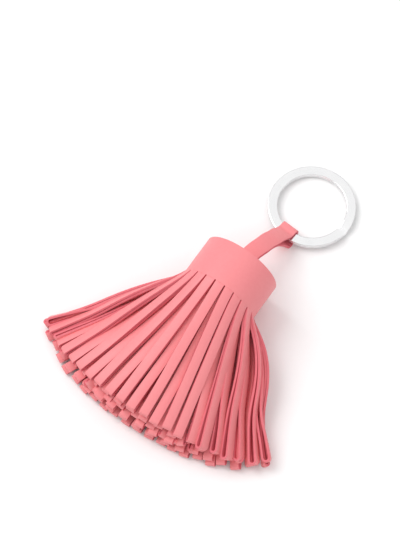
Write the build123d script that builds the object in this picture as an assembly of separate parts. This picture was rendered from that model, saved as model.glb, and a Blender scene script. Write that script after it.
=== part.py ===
"""A tassel key ring that lies on a table: a rolled leather fringe, a strap folded through it and a split ring.

The fringe is one strip of leather, folded in half along its length and slit from the fold, so that every
strand is a closed loop. Its unslit band is rolled up round the two tails of the strap and is the head.
The head's axis lies along Y and its rim faces +Y. The strands fan out towards -Y, on the table at Z = 0.
Angles round the head are counted from +X towards +Z. Millimetres and degrees throughout.
"""

import os
from math import acos, atan2, cos, degrees, hypot, pi, radians, sin, sqrt

from build123d import *

# Leather of the fringe
ply = 0.85
ply_glue = 0.05  # glue between the two plies of the folded strip
turn_gap = 0.05  # free space between one turn of the roll and the next
strand_pitch = 3.75  # distance between slits
slit = 0.46  # width that a slit takes from the strands

# Head
head_radius = 15.5
head_length = 15.5  # from the rim to the top of the slits
seam_angle = 215.0  # where the outer end of the strip is glued down
outer_end_lap = 2.0  # angle by which the last strand of the outer turn may pass the seam

# Fan of strands on the table: the first six are for each millimetre of the head's radius
strand_reach = 3.4194  # from the top of the slits to the fold
fan_spread = 3.0968  # half width of the fan
fan_rise = 0.9355  # thickness of the fan at its folds
fan_waist = 0.3226  # height at which the fan is widest
inner_drop = 0.0839  # between the strands of the outer turn and the ones under them
inner_side_drop = 0.3871  # the same at the two sides of the fan
flare_start = 0.12  # share of a strand's length over which it turns away from the head
strand_swell = 0.6  # extra thickness of a strand at its fold
strand_stations = 7  # cross-sections of a strand
inner_set_back = 1.5  # from the folds of the outer turn to the folds under them
fold_evenness = 0.8  # 1 when the folds are evenly spaced across the fan, 0 when they keep their root angles
spread_lead = 0.6  # under 1, the strands spread round the outline sooner than the outline flattens
fold_arc_radius = 84.0  # radius of the arc that the folds lie on, seen from above
inner_gap = 0.12  # between one inner turn's strands and the next
inner_shares = (0, 0.15, 0.35, 0.55, 0.75, 1)  # cross-sections of the inner turns along the strands

# Split ring
ring_outer_radius = 16.0
ring_band = 3.4  # radial width of the coil
coil_thickness = 1.05
coil_gap = 0.1
coil_round = 0.25  # rounding of the coil's edges
jog_angle = 93.0  # middle of the step between the coils, counted from the eye
jog_span = 18.0
coil_end_gap = 3.0  # angle between the step and each end of the coil
step_shares = (0, 0.2, 0.4, 0.6, 0.8, 1)  # cross-sections along the step

# Strap
strap_width = 6.2
strap_ply = 1.0
strap_clearance = 0.12  # at each hinge line of the strap
core_clearance = 0.5  # round the tails, in the middle of the roll
exit_stand_off = 1.3  # strap's first hinge line in front of the rim
eye_play = 0.25  # between the ring's faces and the eye
eye_slack = 0.7  # between the ring's edges and the ends of the eye
eye_round = 1.5  # rounding of the eye's outer folds
neck_length = 5.5  # from the eye to the hinge line behind it
neck_rise = 50.0  # angle at which the neck rises from the eye
ring_forward = 37.4  # ring's centre in front of the rim
ring_aside = 5.8  # ring's centre to the side of the head's axis
eye_yaw = 3.0  # direction of the eye, from +Y towards +X
tail_inset = 1.5  # from the end of the tails to the bottom of the head

# Stitches through the two tails
stitch_thread = 0.5
stitch_length = 2.2
stitch_pitch = 4.0
stitch_count = 3
stitch_play = 0.05
stitch_rounding = 0.3  # of the thread's path at its corners

band = 2 * ply + ply_glue
turn_pitch = band + turn_gap
strap_thickness = 2 * strap_ply
core_radius = hypot(strap_width, strap_thickness) / 2 + core_clearance
half_turns = 1 + int((head_radius - band - core_radius - turn_pitch / 4) / (turn_pitch / 2))
ring_thickness = 2 * coil_thickness + coil_gap
ring_inner_radius = ring_outer_radius - ring_band
ring_middle_radius = ring_outer_radius - ring_band / 2
strand_width = strand_pitch - slit
strand_length = strand_reach * head_radius
inner_clearance = inner_drop * head_radius
inner_side_clearance = inner_side_drop * head_radius
fan_half_width = fan_spread * head_radius
fan_height = fan_rise * head_radius
fan_waist_height = fan_waist * head_radius
root_y = -head_length - slit  # where the strands start, with the rim at Y = 0
ORDINALS = ("second", "third", "fourth", "fifth", "sixth", "seventh", "eighth", "ninth", "tenth")


# ------------------------------------------------------------ the rolled band


def half_turn_centre(half_turn):
    """Centre of a half turn. The centres alternate, so that each half turn runs on into the next."""
    side = turn_pitch / 4 * (-1) ** half_turn
    return side * cos(radians(seam_angle)), side * sin(radians(seam_angle))


def half_turn_radius(half_turn):
    """Radius of a half turn's outer face."""
    return head_radius - half_turn * turn_pitch / 2


axis_height = head_radius - half_turn_centre(0)[1]  # the first half turn rests on the table


def rolled_angle(length):
    """Angle rolled up after a length of the strip."""
    half_turn = 0
    arc = pi * (half_turn_radius(0) - band / 2)
    while length > arc:
        length -= arc
        half_turn += 1
        arc = pi * (half_turn_radius(half_turn) - band / 2)
    return 180 * (half_turn + length / arc)


def on_roll(rolled, depth):
    """Point (x, z) at a rolled angle and a depth under the outer face, from the head's axis."""
    half_turn = int(rolled // 180)
    centre_x, centre_z = half_turn_centre(half_turn)
    radius = half_turn_radius(half_turn) - depth
    angle = radians(seam_angle + rolled)
    return centre_x + radius * cos(angle), centre_z + radius * sin(angle)


def roll_side(depth):
    """The spiral that one face of the band follows, as half turns."""
    return [
        CenterArc(half_turn_centre(h), half_turn_radius(h) - depth, seam_angle + 180 * h, 180)
        for h in range(half_turns)
    ]


def rolled_band():
    """The unslit part of the fringe."""
    outside, inside = roll_side(0), roll_side(band)
    outer_end = Line(outside[0] @ 0, inside[0] @ 0)
    inner_end = Line(outside[-1] @ 1, inside[-1] @ 1)
    face = make_face([*outside, *inside, outer_end, inner_end])
    return Pos(0, 0, axis_height) * extrude(Plane.XZ * face, amount=head_length)


# ------------------------------------------------------------ the fan of strands


def flare(share):
    """How far the head's circle has turned into the fan's outline, at a share of the strands' length."""
    return share * share * (1 + flare_start) / (share + flare_start)


def fan_size(share):
    """Half width, height above the middle, height under it, and height of the middle, at a share."""
    grown = flare(share)
    width = head_radius + (fan_half_width - head_radius) * grown
    above = head_radius + (fan_height - fan_waist_height - head_radius) * grown
    below = head_radius + (fan_waist_height - head_radius) * grown
    return width, above, below, axis_height + (fan_waist_height - axis_height) * grown


def on_fan(share, angle, inset):
    """Point at an inset under the fan's outline, and the direction along the outline there."""
    width, above, below, middle = fan_size(share)
    height = above if sin(angle) > 0 else below
    along = Vector(-width * sin(angle), 0, height * cos(angle)).normalized()
    inwards = Vector(-along.Z, 0, along.X)
    return Vector(width * cos(angle), 0, middle + height * sin(angle)) + inwards * inset, along


def fold_angle(root_angle):
    """Angle of a strand's fold on the outline, where the folds are about evenly spaced from side to side."""
    half_angle = root_angle % 180
    even = degrees(acos(1 - half_angle / 90))
    return root_angle + (even - half_angle) * fold_evenness


def strand_places(rolled):
    """Middles of an outer strand's sections, from its slit to its fold, with the directions across them."""
    root_angle = (seam_angle + rolled) % 360
    turn = fold_angle(root_angle) - root_angle
    root_x, root_z = on_roll(rolled, band / 2)
    aside = Vector(root_x, 0, root_z + axis_height) - on_fan(0, radians(root_angle), band / 2)[0]
    step = strand_length / (strand_stations - 1)
    places = []
    for station in range(strand_stations):
        share = station / (strand_stations - 1)
        inset = (band + strand_swell * share) / 2
        point, across = on_fan(share, radians(root_angle + turn * flare(share) ** spread_lead), inset)
        point = Vector(point.X, root_y, point.Z) + aside * (1 - share)
        if places:
            last = places[-1][0]
            point.Y = last.Y - sqrt(step**2 - (point.X - last.X) ** 2 - (point.Z - last.Z) ** 2)
        places.append((point, across))
    return places


def outer_strand(rolled):
    """One strand of the outer turn: its two plies as one plain solid."""
    places = strand_places(rolled)
    sections = []
    for station, (point, across) in enumerate(places):
        thickness = band + strand_swell * station / (strand_stations - 1)
        after = places[min(station + 1, strand_stations - 1)][0]
        before = places[max(station - 1, 0)][0]
        ahead = (after - before).normalized() if station else Vector(0, -1, 0)
        across = across - ahead * across.dot(ahead)
        plane = Plane(origin=point, x_dir=across, z_dir=ahead)
        sections.append(plane * Rectangle(strand_width, thickness))
    return loft(sections, ruled=True)


def outer_strand_angles():
    """Rolled angles of the middles of the outer turn's strands."""
    angles = []
    while rolled_angle((len(angles) + 1) * strand_pitch) < 360 + outer_end_lap:
        angles.append(rolled_angle((len(angles) + 0.5) * strand_pitch))
    return angles


strand_angles = outer_strand_angles()
inner_radius = hypot(*on_roll(359, band)) - inner_gap  # all round inside the outer turn
fold_y = min(strand_places(rolled)[-1][0].Y for rolled in strand_angles)


def inner_section(share, y, scale):
    """The space inside the outer strands at a share of their length, scaled about its middle."""
    width, above, below, middle = fan_size(share)
    inset = (head_radius - inner_radius) * (1 - share) + (band + strand_swell + inner_clearance) * share
    width = (width - inset - inner_side_clearance * share) * scale
    upper = EllipticalCenterArc((0, 0), width, (above - inset) * scale, start_angle=0, arc_size=180)
    lower = EllipticalCenterArc((0, 0), width, (below - inset) * scale, start_angle=180, arc_size=180)
    return Plane(origin=(0, y, middle), x_dir=(1, 0, 0), z_dir=(0, -1, 0)) * make_face([upper, lower])


def inner_turn_space(scale):
    """The space inside the outer strands, cut off along the arc on which the folds lie."""
    run = fold_y - root_y
    return loft([inner_section(share, root_y + run * share, scale) for share in inner_shares])


def inner_turns():
    """The strands of each turn under the outer one, as one plain solid for each turn."""
    scales = [1 - turn * turn_pitch / inner_radius for turn in range((half_turns - 1) // 2)]
    spaces = [inner_turn_space(scale) for scale in scales]
    hollows = [inner_turn_space(scale + inner_gap / inner_radius) for scale in scales[1:]]
    ends = Pos(0, fold_y + inner_set_back + fold_arc_radius, 0) * Cylinder(fold_arc_radius, 4 * head_radius)
    turns = [space - hollow for space, hollow in zip(spaces, hollows)] + [spaces[-1]]
    return {f"{ORDINALS[i]}_turn_strands": turn & ends for i, turn in enumerate(turns)}


# ------------------------------------------------------------ the split ring


def coil_section(angle, height):
    """The wire's section at an angle round the ring and a height above its middle."""
    outwards = Vector(cos(radians(angle)), sin(radians(angle)), 0)
    place = outwards * ring_middle_radius + Vector(0, 0, height)
    section = Plane(origin=place, x_dir=outwards, z_dir=(-outwards.Y, outwards.X, 0))
    return section * RectangleRounded(ring_band, coil_thickness, coil_round)


def coil(height, start, sweep):
    """One flat turn of the coil at a height above the ring's middle, from an angle on through another."""
    return revolve(coil_section(start, height), Axis.Z, sweep)


def coil_step(start, height):
    """The stretch where the wire climbs from the lower turn to the upper one."""
    sections = []
    for share in step_shares:
        climb = height * (2 * share * share * (3 - 2 * share) - 1)
        sections.append(coil_section(start + jog_span * share, climb))
    return loft(sections)


def split_ring():
    """Two turns of flat wire round +Z, with the eye at -Y and the step between the turns at jog_angle."""
    height = (coil_thickness + coil_gap) / 2
    step_start = jog_angle - 90 - jog_span / 2
    step_end = step_start + jog_span
    sweep = 360 - jog_span - coil_end_gap
    lower = coil(-height, step_end + coil_end_gap, sweep)
    upper = coil(height, step_end, sweep)
    return lower + coil_step(step_start, height) + upper


# ------------------------------------------------------------ the strap

eye_length = ring_band + 2 * (eye_slack + strap_ply)
eye_thickness = ring_thickness + 2 * (eye_play + strap_ply)
eye_inner_reach = ring_middle_radius - eye_length / 2
ring_tilt = degrees((eye_play + strap_ply) / (ring_outer_radius + eye_inner_reach))
ring_height = ring_thickness / 2 * cos(radians(ring_tilt)) + ring_outer_radius * sin(radians(ring_tilt))
ring_place = Pos(ring_aside, ring_forward, ring_height) * Rot(0, 0, -eye_yaw) * Rot(-ring_tilt, 0, 0)
neck_run = neck_length * cos(radians(neck_rise))
neck_climb = neck_length * sin(radians(neck_rise))
eye_hinge_reach = ring_middle_radius + eye_length / 2 + neck_run
eye_hinge = (ring_place * Pos(0, -eye_hinge_reach, neck_climb)).position
exit_hinge = Vector(0, exit_stand_off, axis_height)
shank_run = eye_hinge - exit_hinge
shank_yaw = -degrees(atan2(shank_run.X, shank_run.Y))
eye_axis = (ring_place * Pos(1, 0, 0)).position - ring_place.position
exit_axis = Vector(cos(radians(shank_yaw)), sin(radians(shank_yaw)), 0)


def strap_eye():
    """The fold of the strap round the ring, with the neck behind it down to the hinge line."""
    outside = RectangleRounded(eye_length, eye_thickness, eye_round)
    inside = RectangleRounded(eye_length - strap_thickness, eye_thickness - strap_thickness, eye_round - strap_ply)
    neck_middle = Pos(-(eye_length + neck_run) / 2, neck_climb / 2)
    neck = neck_middle * Rot(0, 0, -neck_rise) * Rectangle(neck_length, strap_thickness)
    neck += Pos(-eye_length / 2) * Circle(strap_thickness / 2)
    knuckle = Pos(-eye_length / 2 - neck_run, neck_climb) * Circle(strap_thickness / 2)
    profile = Plane.YZ * Pos(-ring_middle_radius) * (outside + neck + knuckle - inside)
    return ring_place * extrude(profile, amount=strap_width / 2, both=True)


def strap_shank():
    """The two plies between the head and the eye, with a rounded end at the head."""
    ahead = shank_run.normalized()
    corner = eye_axis.cross(ahead).length
    skew = sqrt(max(0, 1 - corner**2)) * strap_width / 2
    end = eye_hinge - ahead * (strap_thickness / 2 + strap_clearance + skew)
    near = Plane(origin=exit_hinge, x_dir=exit_axis, z_dir=ahead)
    far = Plane(origin=end, x_dir=eye_axis - ahead * eye_axis.dot(ahead), z_dir=ahead)
    run = loft([place * Rectangle(strap_width, strap_thickness) for place in (near, far)], ruled=True)
    knuckle = Plane(origin=exit_hinge, z_dir=exit_axis) * Cylinder(strap_thickness / 2, strap_width)
    return run + knuckle


def strap_tail(side):
    """One of the two ends of the strap inside the head: side is 1 for the upper one, -1 for the lower."""
    front = exit_stand_off - strap_thickness / 2 - strap_clearance - strap_width / 2 * sin(radians(abs(shank_yaw)))
    back = -head_length + tail_inset
    block = Box(strap_width, front - back, strap_ply)
    block = Pos(0, (front + back) / 2, axis_height + side * strap_ply / 2) * block
    for stitch in range(stitch_count):
        for end in (-0.5, 0.5):
            y = stitch_middle(stitch) + end * stitch_length
            hole = Cylinder(stitch_thread / 2 + stitch_play, 2 * strap_thickness)
            block -= Pos(0, y, axis_height) * hole
    return block


def stitch_middle(stitch):
    """Place of a stitch along the head."""
    return -head_length / 2 + (stitch - (stitch_count - 1) / 2) * stitch_pitch


def tail_stitches():
    """The thread through the tails, as one closed loop for each stitch."""
    reach = strap_thickness / 2 + stitch_play + stitch_thread / 2
    path = Plane.YZ * RectangleRounded(stitch_length, 2 * reach, stitch_rounding)
    wire = path.wire()
    section = Plane(origin=wire @ 0, z_dir=wire % 0) * Circle(stitch_thread / 2)
    loop = sweep(section, path=wire)
    return Compound([Pos(0, stitch_middle(stitch), axis_height) * loop for stitch in range(stitch_count)])


# ------------------------------------------------------------ the assembly


def make_parts():
    """Every piece in its place, with the rim of the head at Y = 0."""
    made = {
        "rolled_head": rolled_band(),
        "strap_upper_tail": strap_tail(1),
        "strap_lower_tail": strap_tail(-1),
        "tail_stitches": tail_stitches(),
        "strap_shank": strap_shank(),
        "strap_eye": strap_eye(),
        "split_ring": ring_place * split_ring(),
    }
    for number, rolled in enumerate(strand_angles, 1):
        made[f"tassel_strand_{number:02d}"] = outer_strand(rolled)
    made.update(inner_turns())
    return made


parts = make_parts()
whole = Compound(list(parts.values())).bounding_box()
middle = whole.center()
home = Pos(-middle.X, -middle.Y, -whole.min.Z)  # brings the object's middle over the origin
os.makedirs("parts", exist_ok=True)
for name, piece in parts.items():
    piece = home * piece
    piece.label = name
    export_step(piece, f"parts/{name}.step")
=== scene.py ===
"""The looks of the tassel key ring: every looped strand, the rolled head, the strap and the finishes."""
import random
from math import cos, hypot, pi, radians, sin, sqrt

import bpy
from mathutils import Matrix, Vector


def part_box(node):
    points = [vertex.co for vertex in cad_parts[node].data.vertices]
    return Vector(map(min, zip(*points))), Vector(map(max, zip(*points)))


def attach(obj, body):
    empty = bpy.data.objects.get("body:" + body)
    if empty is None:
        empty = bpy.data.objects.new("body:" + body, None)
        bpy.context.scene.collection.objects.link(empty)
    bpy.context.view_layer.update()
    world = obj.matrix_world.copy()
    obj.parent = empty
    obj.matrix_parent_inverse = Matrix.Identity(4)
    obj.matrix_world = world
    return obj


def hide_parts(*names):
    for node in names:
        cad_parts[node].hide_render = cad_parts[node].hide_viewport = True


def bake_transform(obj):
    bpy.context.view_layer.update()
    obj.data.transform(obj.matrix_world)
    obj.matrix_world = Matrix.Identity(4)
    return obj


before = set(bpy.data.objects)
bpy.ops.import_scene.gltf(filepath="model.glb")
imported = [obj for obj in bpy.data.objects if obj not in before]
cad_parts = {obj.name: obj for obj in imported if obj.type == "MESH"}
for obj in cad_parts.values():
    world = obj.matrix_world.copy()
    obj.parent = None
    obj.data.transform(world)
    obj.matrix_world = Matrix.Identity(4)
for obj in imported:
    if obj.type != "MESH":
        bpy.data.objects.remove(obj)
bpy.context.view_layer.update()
mm = 0.001

# ------------------------------------------------------------ sizes of the leather

HEAD_RADIUS = 15.5 * mm
TURN_PITCH = 1.8 * mm  # from one turn of the folded strip to the next
PLY = 0.85 * mm  # one thickness of leather
BAND = 1.75 * mm  # two plies, glued back to back
SEAM_ANGLE = 215.0  # where the outer end of the roll lies, from the right side over the top
HALF_TURNS = 11
STRAND_PITCH = 3.75 * mm
STRAND_WIDTH = 3.5 * mm
STRAND_LENGTH = 54.3 * mm
OUTER_END_LAP = 2.0  # degrees by which a strand may pass a full turn and still count with it
INNER_END_GAP = 5.0  # degrees of the roll's inner end without a strand
ROOT_PLAY = 0.03 * mm  # how much deeper than the band's middle a strand starts
FLAT_HOLLOW = 0.5 * mm  # inside the fold of a strand that lies flat
PARTED_HOLLOW = 1.65 * mm  # inside the fold of a strand that stands on its edge
FLAT_FULLNESS = 2.2  # the higher, the nearer to the fold the plies part
PARTED_FULLNESS = 2.0
STRAND_ROUNDING = 0.12 * mm
RIM_ROUNDING = 0.14 * mm
STRAP_ROUNDING = 0.14 * mm
STRAP_WIDTH = 6.2 * mm
STRAP_PLY = 0.96 * mm  # a little under the distance between its two plies
NEAR = 0.01 * mm  # points closer than this to a plane lie on it

# ------------------------------------------------------------ how the leather lies

FAN_HALF_WIDTH = 50.0 * mm
EDGE_HEIGHT = 2.3 * mm  # of the middles of the top folds at the sides of the fan
CROWN_RISE = 11.0 * mm  # how much higher they are in the middle
CROWN_POWER = 1.5
LAYER_WIDTHS = (49.3 * mm, 42.0 * mm, 24.0 * mm)  # half widths of the three layers of folds
LAYER_DROP = 2.7 * mm  # from layer to layer in the upper half
UNDER_RISE = 2.4 * mm  # from layer to layer in the half that lies on the table
LYING_HEIGHT = 1.2 * mm  # middle of a fold that lies flat on the table
EDGE_EXTRA = 0.6 * mm  # more than that for a fold that stands on its edge
STACK_STEP = 2.3 * mm  # least height of the upper half's folds over the lower half's
SIDE_PACKING = 1.12  # over 1, the folds lie closer together at the two sides of the fan
FOLD_STRAY = 0.4 * mm  # how far a fold lies off its place, to either side
FACING_STRAY = 5
LENGTH_STRAY = (-0.7 * mm, 0.5 * mm)
WAVE = 0.35 * mm  # how far a strand winds from side to side
OPEN_FROM = 0.7  # a fold more on its edge than this share is seen open
FLARE_START = 0.05  # the smaller, the sooner after its root a strand runs straight
FACING_POWER = 0.8  # under 1, a strand turns to its face at the fold early
BOW_END = 0.7  # share of the length over which the outer strands bow
BOW_POWER = 0.9
ROOT_LAP = 0.4 * mm  # how far the strands' roots run on inside the head
RIGHT_BOW_FROM = 28 * mm  # from here outwards, strands bow to the side before they reach their fold
RIGHT_BOW = 0.2  # how far they bow, as a share of the distance from there
LEFT_BOW_FROM = 25 * mm
LEFT_BOW = 0.07
HIDDEN_SINK = 0.35 * mm  # an inner strand's extra depth under the one that hides it
SINK_OVER = 0.25  # share of the length over which it sinks that deep
RISE_FROM, RISE_OVER = 0.5, 0.4  # where it comes up between its neighbours, and over what share
RISEN_DEPTH = (0.4 * mm, 1.3 * mm)  # how deep it then still lies
STEEPEST_DROP = 0.04  # least share of a step's squared length that runs along the fan
SHARES = (0, 0.04, 0.12, 0.25, 0.4, 0.55, 0.7, 0.86, 1)  # control points along a strand
INNER_TURNS = ("second", "third", "fourth", "fifth", "sixth")

# where a strand's outer face looks, by its place round the fan from the right side over the top
FACING_RIGHT = ((0, 0), (7, 28), (40, 38), (54, 64), (75, 82))
FACING_LEFT = ((90, 90), (110, 95), (145, 103), (162, 112), (171, 135))
FACING_UNDER = ((180, 180), (195, 225), (212, 258), (270, 270), (328, 282), (345, 315), (360, 360))
FACING = FACING_RIGHT + FACING_LEFT + FACING_UNDER

# the strap's line: x, y and z in mm, the turn of its width about Z and its bank in degrees
UPPER_PLY = (
    (0.33, -6.7, 16.33, 0, 0),
    (0.33, 0.5, 16.33, 0, 0),
    (0.33, 6.5, 16.33, 0, 2),
    (0.9, 9.5, 16.4, 2, 5),
    (1.2, 12.5, 16.3, 5, 10),
    (1.8, 15.5, 15.8, 8, 12),
    (2.5, 18.6, 14.7, 10, 13),
    (2.85, 21.4, 13.1, 10, 13),
    (3.45, 24.1, 11.2, 9, 10),
    (3.6, 26.4, 9.2, 8, 7),
    (4, 28.4, 7.2, 6, 4),
    (4.2, 30, 5.5, 5, 2),
    (4.3, 31.2, 4.7, 5, 1),
    (4.4, 32.5, 4.5, 5, 0),
)
LOWER_PLY = (
    (4.8, 32.5, 0.75, 5, 0),
    (5, 31, 0.7, 6, 0),
    (5.2, 29.5, 0.75, 7, 1),
    (5.2, 28.2, 1.6, 9, 2),
    (5, 27.4, 3.3, 11, 4),
    (4.6, 26.6, 5.4, 12, 7),
    (4.15, 25.4, 7.8, 12, 10),
    (3.35, 23.6, 10.2, 11, 11),
    (2.75, 21, 12.2, 10, 13),
    (2.45, 18.3, 13.75, 10, 13),
    (1.8, 15.3, 14.82, 8, 12),
    (1.2, 12.4, 15.3, 5, 10),
    (0.9, 9.4, 15.4, 2, 5),
    (0.33, 6.5, 15.33, 0, 2),
    (0.33, 0.5, 15.33, 0, 0),
    (0.33, -6.7, 15.33, 0, 0),
)
RING_FOLD = ((4.5, 33.5, 4.05, 5, 0), (4.55, 33.95, 2.6, 5, 0), (4.6, 33.5, 1.2, 5, 0))
STRAP_KNOTS = UPPER_PLY + RING_FOLD + LOWER_PLY
STRAP_SPLIT = 16.5 * mm  # how far along +Y the strap is cut into its two pieces

head_low, head_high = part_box("rolled_head")
rim_y = head_high.y
slit_y = head_low.y
offset_of_half_turn = TURN_PITCH / 4
axis_x = head_high.x - HEAD_RADIUS - offset_of_half_turn * cos(radians(SEAM_ANGLE))
axis_z = head_low.z + HEAD_RADIUS - offset_of_half_turn * sin(radians(SEAM_ANGLE))

rng = random.Random(7)


# ------------------------------------------------------------ modelling helpers


def start_piece(name):
    """The object just added becomes a piece of that name, on its own."""
    piece = bpy.context.object
    piece.name = name
    piece.data.name = name
    return piece


def deselect():
    bpy.ops.object.select_all(action="DESELECT")


def take(piece):
    """Only this piece is selected and active."""
    deselect()
    piece.select_set(True)
    bpy.context.view_layer.objects.active = piece


def pick(piece, test, kind="VERT"):
    """In edit mode, selects the vertices whose place, or the edges whose two ends, pass the test."""
    bpy.ops.object.mode_set(mode="OBJECT")
    mesh = piece.data
    for group in (mesh.vertices, mesh.edges, mesh.polygons):
        group.foreach_set("select", [False] * len(group))
    if kind == "VERT":
        for vertex in mesh.vertices:
            vertex.select = test(vertex.co)
    else:
        for edge in mesh.edges:
            a, b = (mesh.vertices[i].co for i in edge.vertices)
            edge.select = test(a, b)
    bpy.ops.object.mode_set(mode="EDIT")
    bpy.ops.mesh.select_mode(type=kind)


def apply_modifier(piece, kind, **settings):
    take(piece)
    modifier = piece.modifiers.new(kind, kind)
    for key, value in settings.items():
        setattr(modifier, key, value)
    bpy.ops.object.modifier_apply(modifier=modifier.name)


def thicken(piece, thickness, rounding, sharp):
    """A sheet becomes leather: its back and rim take the next two materials, and its rims are rounded."""
    apply_modifier(
        piece, "SOLIDIFY", thickness=thickness, offset=0, material_offset=1, material_offset_rim=2
    )
    apply_modifier(
        piece, "BEVEL", width=rounding, segments=2, limit_method="ANGLE", angle_limit=sharp
    )


def smooth_sharp(piece):
    take(piece)
    bpy.ops.object.shade_smooth_by_angle(angle=radians(40))


def copy_piece(piece, name):
    """A copy with its own mesh."""
    twin = piece.copy()
    twin.data = piece.data.copy()
    twin.name = name
    twin.data.name = name
    bpy.context.collection.objects.link(twin)
    return twin


def remove(piece):
    bpy.data.objects.remove(piece, do_unlink=True)


# ------------------------------------------------------------ where each strand starts and ends


def half_turn_centre(half_turn):
    side = offset_of_half_turn * (-1) ** half_turn
    return side * cos(radians(SEAM_ANGLE)), side * sin(radians(SEAM_ANGLE))


def half_turn_radius(half_turn):
    return HEAD_RADIUS - half_turn * TURN_PITCH / 2


def rolled_angle(length):
    """Angle rolled up after a length of the strip."""
    half_turn = 0
    arc = pi * (half_turn_radius(0) - BAND / 2)
    while length > arc and half_turn < HALF_TURNS:
        length -= arc
        half_turn += 1
        arc = pi * (half_turn_radius(half_turn) - BAND / 2)
    return 180 * (half_turn + length / arc)


def roll_point(rolled, depth):
    """Place of a point of the roll, from the head's axis."""
    half_turn = min(int(rolled // 180), HALF_TURNS - 1)
    centre_x, centre_z = half_turn_centre(half_turn)
    radius = half_turn_radius(half_turn) - depth
    angle = radians(SEAM_ANGLE + rolled)
    return centre_x + radius * cos(angle), centre_z + radius * sin(angle)


class Strand:
    """One looped strand: where it starts on the roll, and where its fold lies."""

    def __init__(self, number):
        self.rolled = rolled_angle((number + 0.5) * STRAND_PITCH)
        end = rolled_angle((number + 1) * STRAND_PITCH) - OUTER_END_LAP
        self.turn = int(end // 360)
        self.angle = (SEAM_ANGLE + self.rolled) % 360
        self.x, self.z = roll_point(self.rolled, BAND / 2 + ROOT_PLAY)


def all_strands():
    strands = []
    number = 0
    while rolled_angle((number + 0.5) * STRAND_PITCH) < 180 * HALF_TURNS - INNER_END_GAP:
        strands.append(Strand(number))
        number += 1
    return strands


def between(pairs, at):
    """Value at a place, along straight lines between pairs of place and value."""
    for (low, low_value), (high, high_value) in zip(pairs, pairs[1:]):
        if at <= high:
            return low_value + (high_value - low_value) * (at - low) / (high - low)
    return pairs[-1][1]


def mound(x):
    """Height of the middles of the top strands' folds across the fan."""
    return EDGE_HEIGHT + CROWN_RISE * (1 - min(1, abs(x) / FAN_HALF_WIDTH) ** CROWN_POWER)


def flare(share):
    """How far a strand has gone from its root's place in the roll to its fold's place in the fan."""
    return share * share * (1 + FLARE_START) / (share + FLARE_START)


def place_folds(strands):
    """Turns lie in pairs in one layer of the fan, with their folds side by side."""
    for layer, width in enumerate(LAYER_WIDTHS):
        members = [s for s in strands if min(s.turn // 2, 2) == layer]
        members.sort(key=lambda s: s.angle)
        spread = 360 / len(members)
        # turned so that the folds lie, on average, over their roots
        lag = sum(s.angle - (j + 0.5) * spread for j, s in enumerate(members)) / len(members)
        for j, strand in enumerate(members):
            slot = ((j + 0.5) * spread + lag) % 360
            from_side = 90 - abs(slot % 180 - 90)
            x = width * (1 - (from_side / 90) ** SIDE_PACKING)
            x *= 1 if slot < 90 or slot > 270 else -1
            x += rng.uniform(-FOLD_STRAY, FOLD_STRAY)
            strand.layer = layer
            strand.slot = slot
            strand.face = between(FACING, slot) + rng.uniform(-FACING_STRAY, FACING_STRAY)
            strand.on_edge = abs(cos(radians(strand.face)))
            rest = LYING_HEIGHT + strand.on_edge * EDGE_EXTRA
            if slot < 180:
                z = max(mound(x) - LAYER_DROP * layer, rest + STACK_STEP)
            else:
                z = rest + UNDER_RISE * layer
            strand.fold = Vector((axis_x + x, 0, z))
            strand.length = STRAND_LENGTH + rng.uniform(*LENGTH_STRAY)
            strand.sink = rng.uniform(*RISEN_DEPTH)
            strand.wave = rng.uniform(-WAVE, WAVE)
            strand.bow = max(0, x - RIGHT_BOW_FROM) * RIGHT_BOW + min(0, x + LEFT_BOW_FROM) * LEFT_BOW


def strand_path(strand):
    """Control points of the line that a strand follows, each with the angle its outer face looks at."""
    angle = radians(strand.angle)
    hidden = strand.turn % 2 == 1
    root = Vector((axis_x + strand.x, slit_y + ROOT_LAP, axis_z + strand.z))
    if hidden:
        root += Vector((cos(angle), 0, sin(angle))) * TURN_PITCH
    points = []
    last = None
    turned = (strand.face - strand.angle + 180) % 360 - 180
    for share in SHARES:
        grown = flare(share)
        face = strand.angle + turned * grown**FACING_POWER
        point = root + (Vector((strand.fold.x, root.y, strand.fold.z)) - root) * grown
        point.x += strand.bow * sin(pi * min(1, share / BOW_END) ** BOW_POWER)
        point.x += strand.wave * sin(2 * pi * share) * share
        if hidden:
            risen = min(1, max(0, (share - RISE_FROM) / RISE_OVER))
            depth = TURN_PITCH + HIDDEN_SINK * min(1, share / SINK_OVER)
            depth += (strand.sink - depth) * risen * risen * (3 - 2 * risen)
            point -= Vector((cos(radians(face)), 0, sin(radians(face)))) * depth
        if last is not None:
            run = strand.length * (share - last_share)
            aside = hypot(point.x - last.x, point.z - last.z)
            point.y = last.y - sqrt(max(run * run - aside * aside, STEEPEST_DROP * run * run))
        points.append((point, face))
        last, last_share = point, share
    return points


# ------------------------------------------------------------ the looped strands


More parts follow.
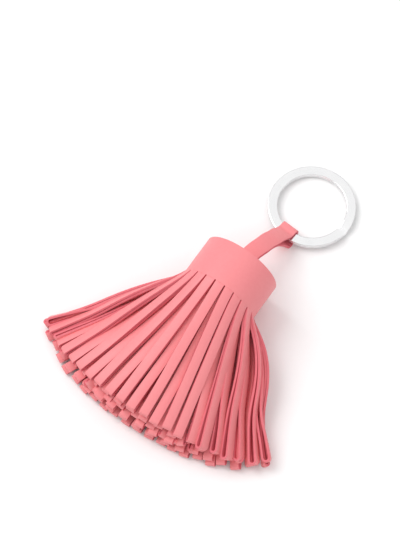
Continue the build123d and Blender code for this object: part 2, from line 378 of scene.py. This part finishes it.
def straight_strand(name, hollow, fullness):
    """A looped strand, straight along +X: two plies that part into a hollow before their fold."""
    radius = hollow / 2 + PLY / 2
    middle = STRAND_LENGTH - radius - PLY / 2
    bpy.ops.mesh.primitive_cylinder_add(
        vertices=20,
        radius=radius,
        depth=STRAND_WIDTH,
        end_fill_type="NOTHING",
        location=(middle, 0, 0),
        rotation=(radians(90), 0, 0),
    )
    piece = start_piece(name)
    bpy.ops.object.transform_apply(location=True, rotation=True, scale=True)
    pick(piece, lambda p: p.x < middle - NEAR)
    bpy.ops.mesh.delete(type="VERT")
    steps = 24
    run = middle / steps
    at = middle
    for _ in range(steps):
        pick(piece, lambda a, b: abs(a.x - at) < NEAR and abs(b.x - at) < NEAR, "EDGE")
        bpy.ops.mesh.extrude_region_move(TRANSFORM_OT_translate={"value": (-run, 0, 0)})
        at -= run
        opened = PLY / 2 + (hollow / 2) * max(0, at / middle) ** fullness
        pick(piece, lambda p: abs(p.x - at) < NEAR)
        now = max(abs(v.co.z) for v in piece.data.vertices if abs(v.co.x - at) < NEAR)
        bpy.ops.transform.resize(value=(1, 1, opened / now), center_override=(at, 0, 0))
    bpy.ops.mesh.select_all(action="SELECT")
    bpy.ops.mesh.normals_make_consistent(inside=False)
    bpy.ops.object.mode_set(mode="OBJECT")
    for finish in (grain, flesh, cut_edge):
        piece.data.materials.append(finish)
    thicken(piece, PLY, STRAND_ROUNDING, radians(50))
    return piece


def bend_along(piece, points):
    """Bends a straight piece along control points with their face angles."""
    curve = bpy.data.curves.new("path", "CURVE")
    curve.dimensions = "3D"
    curve.twist_mode = "Z_UP"
    curve.use_deform_bounds = False
    curve.resolution_u = 10
    spline = curve.splines.new("NURBS")
    spline.points.add(len(points) - 1)
    for knot, (point, face) in zip(spline.points, points):
        knot.co = (*point, 1)
        knot.tilt = radians(face - 90)
    spline.order_u = 4
    spline.use_endpoint_u = True
    path = bpy.data.objects.new("path", curve)
    bpy.context.collection.objects.link(path)
    apply_modifier(piece, "CURVE", object=path, deform_axis="POS_X")
    remove(path)
    bpy.data.curves.remove(curve)


def make_strands():
    strands = all_strands()
    place_folds(strands)
    flat = straight_strand("flat_strand", FLAT_HOLLOW, FLAT_FULLNESS)
    parted = straight_strand("parted_strand", PARTED_HOLLOW, PARTED_FULLNESS)
    made = []
    for number, strand in enumerate(strands, 1):
        seen_open = strand.on_edge > OPEN_FROM and strand.layer == 0 and strand.slot < 180
        master = parted if seen_open else flat
        piece = copy_piece(master, f"strand_loop_{number:02d}")
        bend_along(piece, strand_path(strand))
        smooth_sharp(piece)
        made.append((strand, piece))
    remove(flat)
    remove(parted)
    return made


# ------------------------------------------------------------ the rolled head


def rolled_ply(name, depth):
    """One ply of the rolled band, spun half a turn at a time about the alternating centres."""
    x, z = roll_point(0, depth)
    bpy.ops.mesh.primitive_plane_add(size=1)
    piece = start_piece(name)
    pick(piece, lambda p: p.x > 0)
    bpy.ops.mesh.delete(type="VERT")
    bpy.ops.mesh.select_all(action="SELECT")
    middle = (slit_y + rim_y) / 2
    bpy.ops.transform.resize(value=(1, rim_y - slit_y, 1), center_override=(0, 0, 0))
    bpy.ops.transform.translate(value=(axis_x + x + 0.5, middle, axis_z + z))
    for half_turn in range(HALF_TURNS):
        centre_x, centre_z = half_turn_centre(half_turn)
        fewer_inwards = max(14, 30 - 2 * half_turn)
        bpy.ops.mesh.spin(
            steps=fewer_inwards,
            angle=-pi,
            center=(axis_x + centre_x, 0, axis_z + centre_z),
            axis=(0, -1, 0),
        )
    bpy.ops.mesh.select_all(action="SELECT")
    bpy.ops.mesh.remove_doubles(threshold=0.005 * mm)
    bpy.ops.object.mode_set(mode="OBJECT")
    for finish in (grain, cut_edge):
        piece.data.materials.append(finish)
    apply_modifier(piece, "SOLIDIFY", thickness=PLY, offset=0, material_offset_rim=1)
    pick(piece, lambda a, b: a.y > rim_y - NEAR and b.y > rim_y - NEAR, "EDGE")
    bpy.ops.mesh.bevel(offset=RIM_ROUNDING, segments=2)
    bpy.ops.mesh.select_all(action="SELECT")
    bpy.ops.mesh.normals_make_consistent(inside=False)
    bpy.ops.object.mode_set(mode="OBJECT")
    smooth_sharp(piece)
    return piece


# ------------------------------------------------------------ the strap


def smooth_run(knots, steps):
    """Places on a smooth line through the knots, with so many steps from each knot to the next."""
    places = []
    ends = [knots[0]] + list(knots) + [knots[-1]]
    for a, b, c, d in zip(ends, ends[1:], ends[2:], ends[3:]):
        for step in range(steps):
            t = step / steps
            place = []
            for p, q, r, s in zip(a, b, c, d):
                square = 2 * p - 5 * q + 4 * r - s
                cube = 3 * q - p - 3 * r + s
                place.append(0.5 * (2 * q + (r - p) * t + square * t * t + cube * t**3))
            places.append(place)
    return places + [list(knots[-1])]


def strap_strip(name):
    """The whole strap as one strip: out of the head, over the ring, under it and back."""
    run = []
    for x, y, z, yaw, bank in smooth_run(STRAP_KNOTS, 5):
        run.append((x * mm, y * mm, z * mm, radians(yaw), radians(bank)))
    bpy.ops.mesh.primitive_plane_add(size=1)
    piece = start_piece(name)
    pick(piece, lambda p: p.y > 0)
    bpy.ops.mesh.delete(type="VERT")
    bpy.ops.mesh.select_all(action="SELECT")
    bpy.ops.transform.resize(value=(STRAP_WIDTH, 1, 1), center_override=(0, 0, 0))
    x, y, z, yaw, bank = run[0]
    bpy.ops.transform.translate(value=(x, y + 0.5, z))
    for to_x, to_y, to_z, to_yaw, to_bank in run[1:]:
        place = (to_x, to_y, to_z)
        step = (to_x - x, to_y - y, to_z - z)
        bpy.ops.mesh.extrude_edges_move(TRANSFORM_OT_translate={"value": step})
        bpy.ops.transform.rotate(value=to_yaw - yaw, orient_axis="Z", center_override=place)
        bpy.ops.transform.rotate(value=bank - to_bank, orient_axis="Y", center_override=place)
        x, y, z, yaw, bank = *place, to_yaw, to_bank
    bpy.ops.object.mode_set(mode="OBJECT")
    for finish in (flesh, grain, cut_edge):
        piece.data.materials.append(finish)
    thicken(piece, STRAP_PLY, STRAP_ROUNDING, radians(60))
    smooth_sharp(piece)
    return piece


def keep_side(piece, y, towards_ring):
    """Cuts a piece across at y and keeps the side towards the ring or the side towards the head."""
    take(piece)
    bpy.ops.object.mode_set(mode="EDIT")
    bpy.ops.mesh.select_all(action="SELECT")
    bpy.ops.mesh.bisect(
        plane_co=(0, y, 0),
        plane_no=(0, 1, 0),
        use_fill=True,
        clear_inner=towards_ring,
        clear_outer=not towards_ring,
    )
    bpy.ops.object.mode_set(mode="OBJECT")
    smooth_sharp(piece)


# ------------------------------------------------------------ finishes


class Value:
    """A socket that takes part in sums, such as 1 - mask."""

    def __init__(self, finish, socket):
        self.finish = finish
        self.socket = socket

    def sum(self, operation, first, second):
        return self.finish.node("ShaderNodeMath", {"operation": operation}, {0: first, 1: second})

    def __add__(self, other):
        return self.sum("ADD", self, other)

    def __radd__(self, other):
        return self.sum("ADD", other, self)

    def __sub__(self, other):
        return self.sum("SUBTRACT", self, other)

    def __rsub__(self, other):
        return self.sum("SUBTRACT", other, self)

    def __mul__(self, other):
        return self.sum("MULTIPLY", self, other)

    def __rmul__(self, other):
        return self.sum("MULTIPLY", other, self)


class Finish:
    """A material or the world under construction."""

    def __init__(self, owner, shader="Principled BSDF"):
        self.owner = owner
        owner.use_nodes = True
        self.tree = owner.node_tree
        self.shader = self.tree.nodes[shader]

    def feed(self, socket, value):
        if isinstance(value, Value):
            self.tree.links.new(value.socket, socket)
        else:
            socket.default_value = value

    def node(self, kind, settings=None, sockets=None, output=0):
        """Any node: its settings first, then the values or links of its sockets."""
        made = self.tree.nodes.new(kind)
        for key, value in (settings or {}).items():
            setattr(made, key, value)
        for key, value in (sockets or {}).items():
            self.feed(made.inputs[key], value)
        return Value(self, made.outputs[output])

    def place(self):
        return self.node("ShaderNodeTexCoord", output="Object")

    def noise(self, scale, detail=2.0, roughness=0.5, stretch=(1, 1, 1)):
        at = self.node("ShaderNodeMapping", None, {"Vector": self.place(), "Scale": stretch})
        sockets = {"Vector": at, "Scale": scale, "Detail": detail, "Roughness": roughness}
        return self.node("ShaderNodeTexNoise", None, sockets)

    def mix(self, factor, first, second):
        """Mixes two colours by a factor."""
        sockets = {0: factor, 6: first, 7: second}
        return self.node("ShaderNodeMix", {"data_type": "RGBA"}, sockets, 2)

    def bump(self, height, strength, distance, normal=None):
        sockets = {"Height": height, "Strength": strength, "Distance": distance}
        if normal is not None:
            sockets["Normal"] = normal
        return self.node("ShaderNodeBump", None, sockets)

    def finish(self, **sockets):
        for key, value in sockets.items():
            self.feed(self.shader.inputs[key.replace("_", " ")], value)
        return self.owner


def leather(name, light, deep, roughness, pebble):
    """Dyed lambskin: soft cloudy colour, a fine pebbled grain with pores, and faint creases."""
    finish = Finish(bpy.data.materials.new(name))
    cloud = finish.noise(70, 3.0)
    mottle = finish.noise(900, 2.0)
    cells = finish.node(
        "ShaderNodeTexVoronoi",
        {"feature": "SMOOTH_F1"},
        {"Vector": finish.place(), "Scale": 1700, "Smoothness": 0.6},
    )
    creases = finish.noise(260, 3.0, 0.6, (1, 0.35, 1))
    shade = 0.6 * cloud + 0.4 * mottle
    colour = finish.mix(shade, light, deep)
    coarse = finish.bump(creases, 0.06, 0.3 * mm)
    fine = finish.bump(1 - cells, pebble, 0.05 * mm, coarse)
    return finish.finish(
        Base_Color=colour,
        Roughness=roughness - 0.06 + 0.12 * mottle,
        Normal=fine,
        Specular_IOR_Level=0.28,
    )


def flesh_side(name, light, deep):
    """The unfinished back of the skin: a soft nap without shine."""
    finish = Finish(bpy.data.materials.new(name))
    nap = finish.noise(1400, 4.0, 0.7)
    cloud = finish.noise(120, 2.0)
    colour = finish.mix(0.5 * nap + 0.5 * cloud, light, deep)
    return finish.finish(
        Base_Color=colour,
        Roughness=0.9,
        Normal=finish.bump(nap, 0.3, 0.08 * mm),
        Specular_IOR_Level=0.2,
    )


def cut_side(name, light, deep):
    """The cut edge of the skin, with the fibres showing as fine streaks along it."""
    finish = Finish(bpy.data.materials.new(name))
    fibres = finish.noise(800, 3.0, 0.6, (1, 0.25, 1))
    colour = finish.mix(fibres, light, deep)
    return finish.finish(
        Base_Color=colour,
        Roughness=0.7,
        Normal=finish.bump(fibres, 0.25, 0.06 * mm),
        Specular_IOR_Level=0.3,
    )


def polished_steel(name):
    """Polished plated steel, with hairline scratches and a slight haze from wear."""
    finish = Finish(bpy.data.materials.new(name))
    haze = finish.noise(180, 3.0)
    hairlines = finish.noise(2600, 2.0, 0.5, (1, 0.08, 1))
    colour = finish.mix(haze, (0.93, 0.93, 0.93, 1), (0.86, 0.86, 0.87, 1))
    return finish.finish(
        Base_Color=colour,
        Metallic=1.0,
        Roughness=0.07 + 0.06 * haze + 0.04 * hairlines,
        Normal=finish.bump(hairlines, 0.03, 0.02 * mm),
    )


def waxed_thread(name):
    """Waxed thread: strands twisted round each other."""
    finish = Finish(bpy.data.materials.new(name))
    twist = finish.node(
        "ShaderNodeTexWave",
        {"bands_direction": "DIAGONAL"},
        {"Vector": finish.place(), "Scale": 700, "Distortion": 0.5},
    )
    colour = finish.mix(twist, (0.62, 0.12, 0.16, 1), (0.80, 0.24, 0.28, 1))
    return finish.finish(
        Base_Color=colour,
        Roughness=0.55 + 0.1 * twist,
        Normal=finish.bump(twist, 0.5, 0.08 * mm),
    )


# ------------------------------------------------------------ build everything

deselect()
grain = leather("lambskin_grain", (0.94, 0.31, 0.322, 1), (0.88, 0.245, 0.265, 1), 0.46, 0.10)
flesh = flesh_side("lambskin_flesh", (0.76, 0.17, 0.20, 1), (0.66, 0.12, 0.155, 1))
cut_edge = cut_side("lambskin_cut_edge", (0.82, 0.205, 0.235, 1), (0.70, 0.14, 0.175, 1))
steel = polished_steel("polished_ring_steel")
thread = waxed_thread("waxed_pink_thread")

for number, (strand, piece) in enumerate(make_strands(), 1):
    if strand.turn == 0:
        body = f"tassel_strand_{number:02d}"
        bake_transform(piece)
        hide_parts(body)
    else:
        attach(piece, "head")
        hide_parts(INNER_TURNS[min(strand.turn, 5) - 1] + "_turn_strands")

for name, depth in (("head_outer_ply", PLY / 2), ("head_inner_ply", BAND - PLY / 2)):
    ply = rolled_ply(name, depth)
    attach(ply, "head")
    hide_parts("rolled_head")

shank = strap_strip("strap_out_of_head")
fold = copy_piece(shank, "strap_round_ring")
keep_side(shank, STRAP_SPLIT, False)
keep_side(fold, STRAP_SPLIT, True)
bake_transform(shank)
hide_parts("strap_shank", "strap_upper_tail", "strap_lower_tail")
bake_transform(fold)
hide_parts("strap_eye")

hard_pieces = (("split_ring", steel, "split_ring_steel"), ("tail_stitches", thread, "thread"))
for name, finish, slot in hard_pieces:
    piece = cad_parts[name]
    piece.data.materials.clear()
    piece.data.materials.append(finish)

# ------------------------------------------------------------ floor, light and camera

bpy.ops.mesh.primitive_plane_add(size=3.0)
floor = start_piece("floor")
paper = Finish(bpy.data.materials.new("white_paper"))
white = paper.mix(paper.noise(400, 2.0), (0.96, 0.96, 0.96, 1), (0.94, 0.94, 0.94, 1))
floor.data.materials.append(paper.finish(Base_Color=white, Roughness=0.9))


def soft_light(name, place, size, energy):
    """A square light at a place, facing the object."""
    light = bpy.data.lights.new(name, "AREA")
    light.size = size
    light.energy = energy
    lamp = bpy.data.objects.new(name, light)
    bpy.context.collection.objects.link(lamp)
    lamp.location = place
    lamp.rotation_euler = Vector(place).to_track_quat("Z", "Y").to_euler()


soft_light("key_light", (-0.65, -0.05, 0.95), 0.7, 5.6)
soft_light("side_light", (0.9, 0.3, 0.3), 0.4, 0.3)

studio = Finish(bpy.data.worlds.new("studio"), "Background")
bpy.context.scene.world = studio.owner
direction = studio.node("ShaderNodeTexCoord")
height = studio.node("ShaderNodeSeparateXYZ", None, {0: direction}, 2)
settings = {"interpolation_type": "SMOOTHSTEP"}
sockets = {"Value": height, "From Min": -0.1, "From Max": 0.9, "To Min": 0.2, "To Max": 1.0}
studio.finish(Color=(1, 1, 1, 1), Strength=studio.node("ShaderNodeMapRange", settings, sockets))

CAMERA_TURN, CAMERA_RISE = radians(34.3), radians(67.4)
CAMERA_TARGET = Vector((-14.7 * mm, 3.8 * mm, 0))
CAMERA_DISTANCE = 1.5
level = cos(CAMERA_RISE)
back = Vector((sin(CAMERA_TURN) * level, -cos(CAMERA_TURN) * level, sin(CAMERA_RISE)))
lens = bpy.data.cameras.new("camera")
lens.sensor_fit = "VERTICAL"
lens.sensor_height = 24
lens.lens = 187.5
lens.clip_start = 0.1
lens.clip_end = 10
camera = bpy.data.objects.new("camera", lens)
bpy.context.collection.objects.link(camera)
camera.location = CAMERA_TARGET + back * CAMERA_DISTANCE
camera.rotation_euler = back.to_track_quat("Z", "Y").to_euler()
bpy.context.scene.camera = camera
bpy.context.scene.view_settings.view_transform = "Standard"
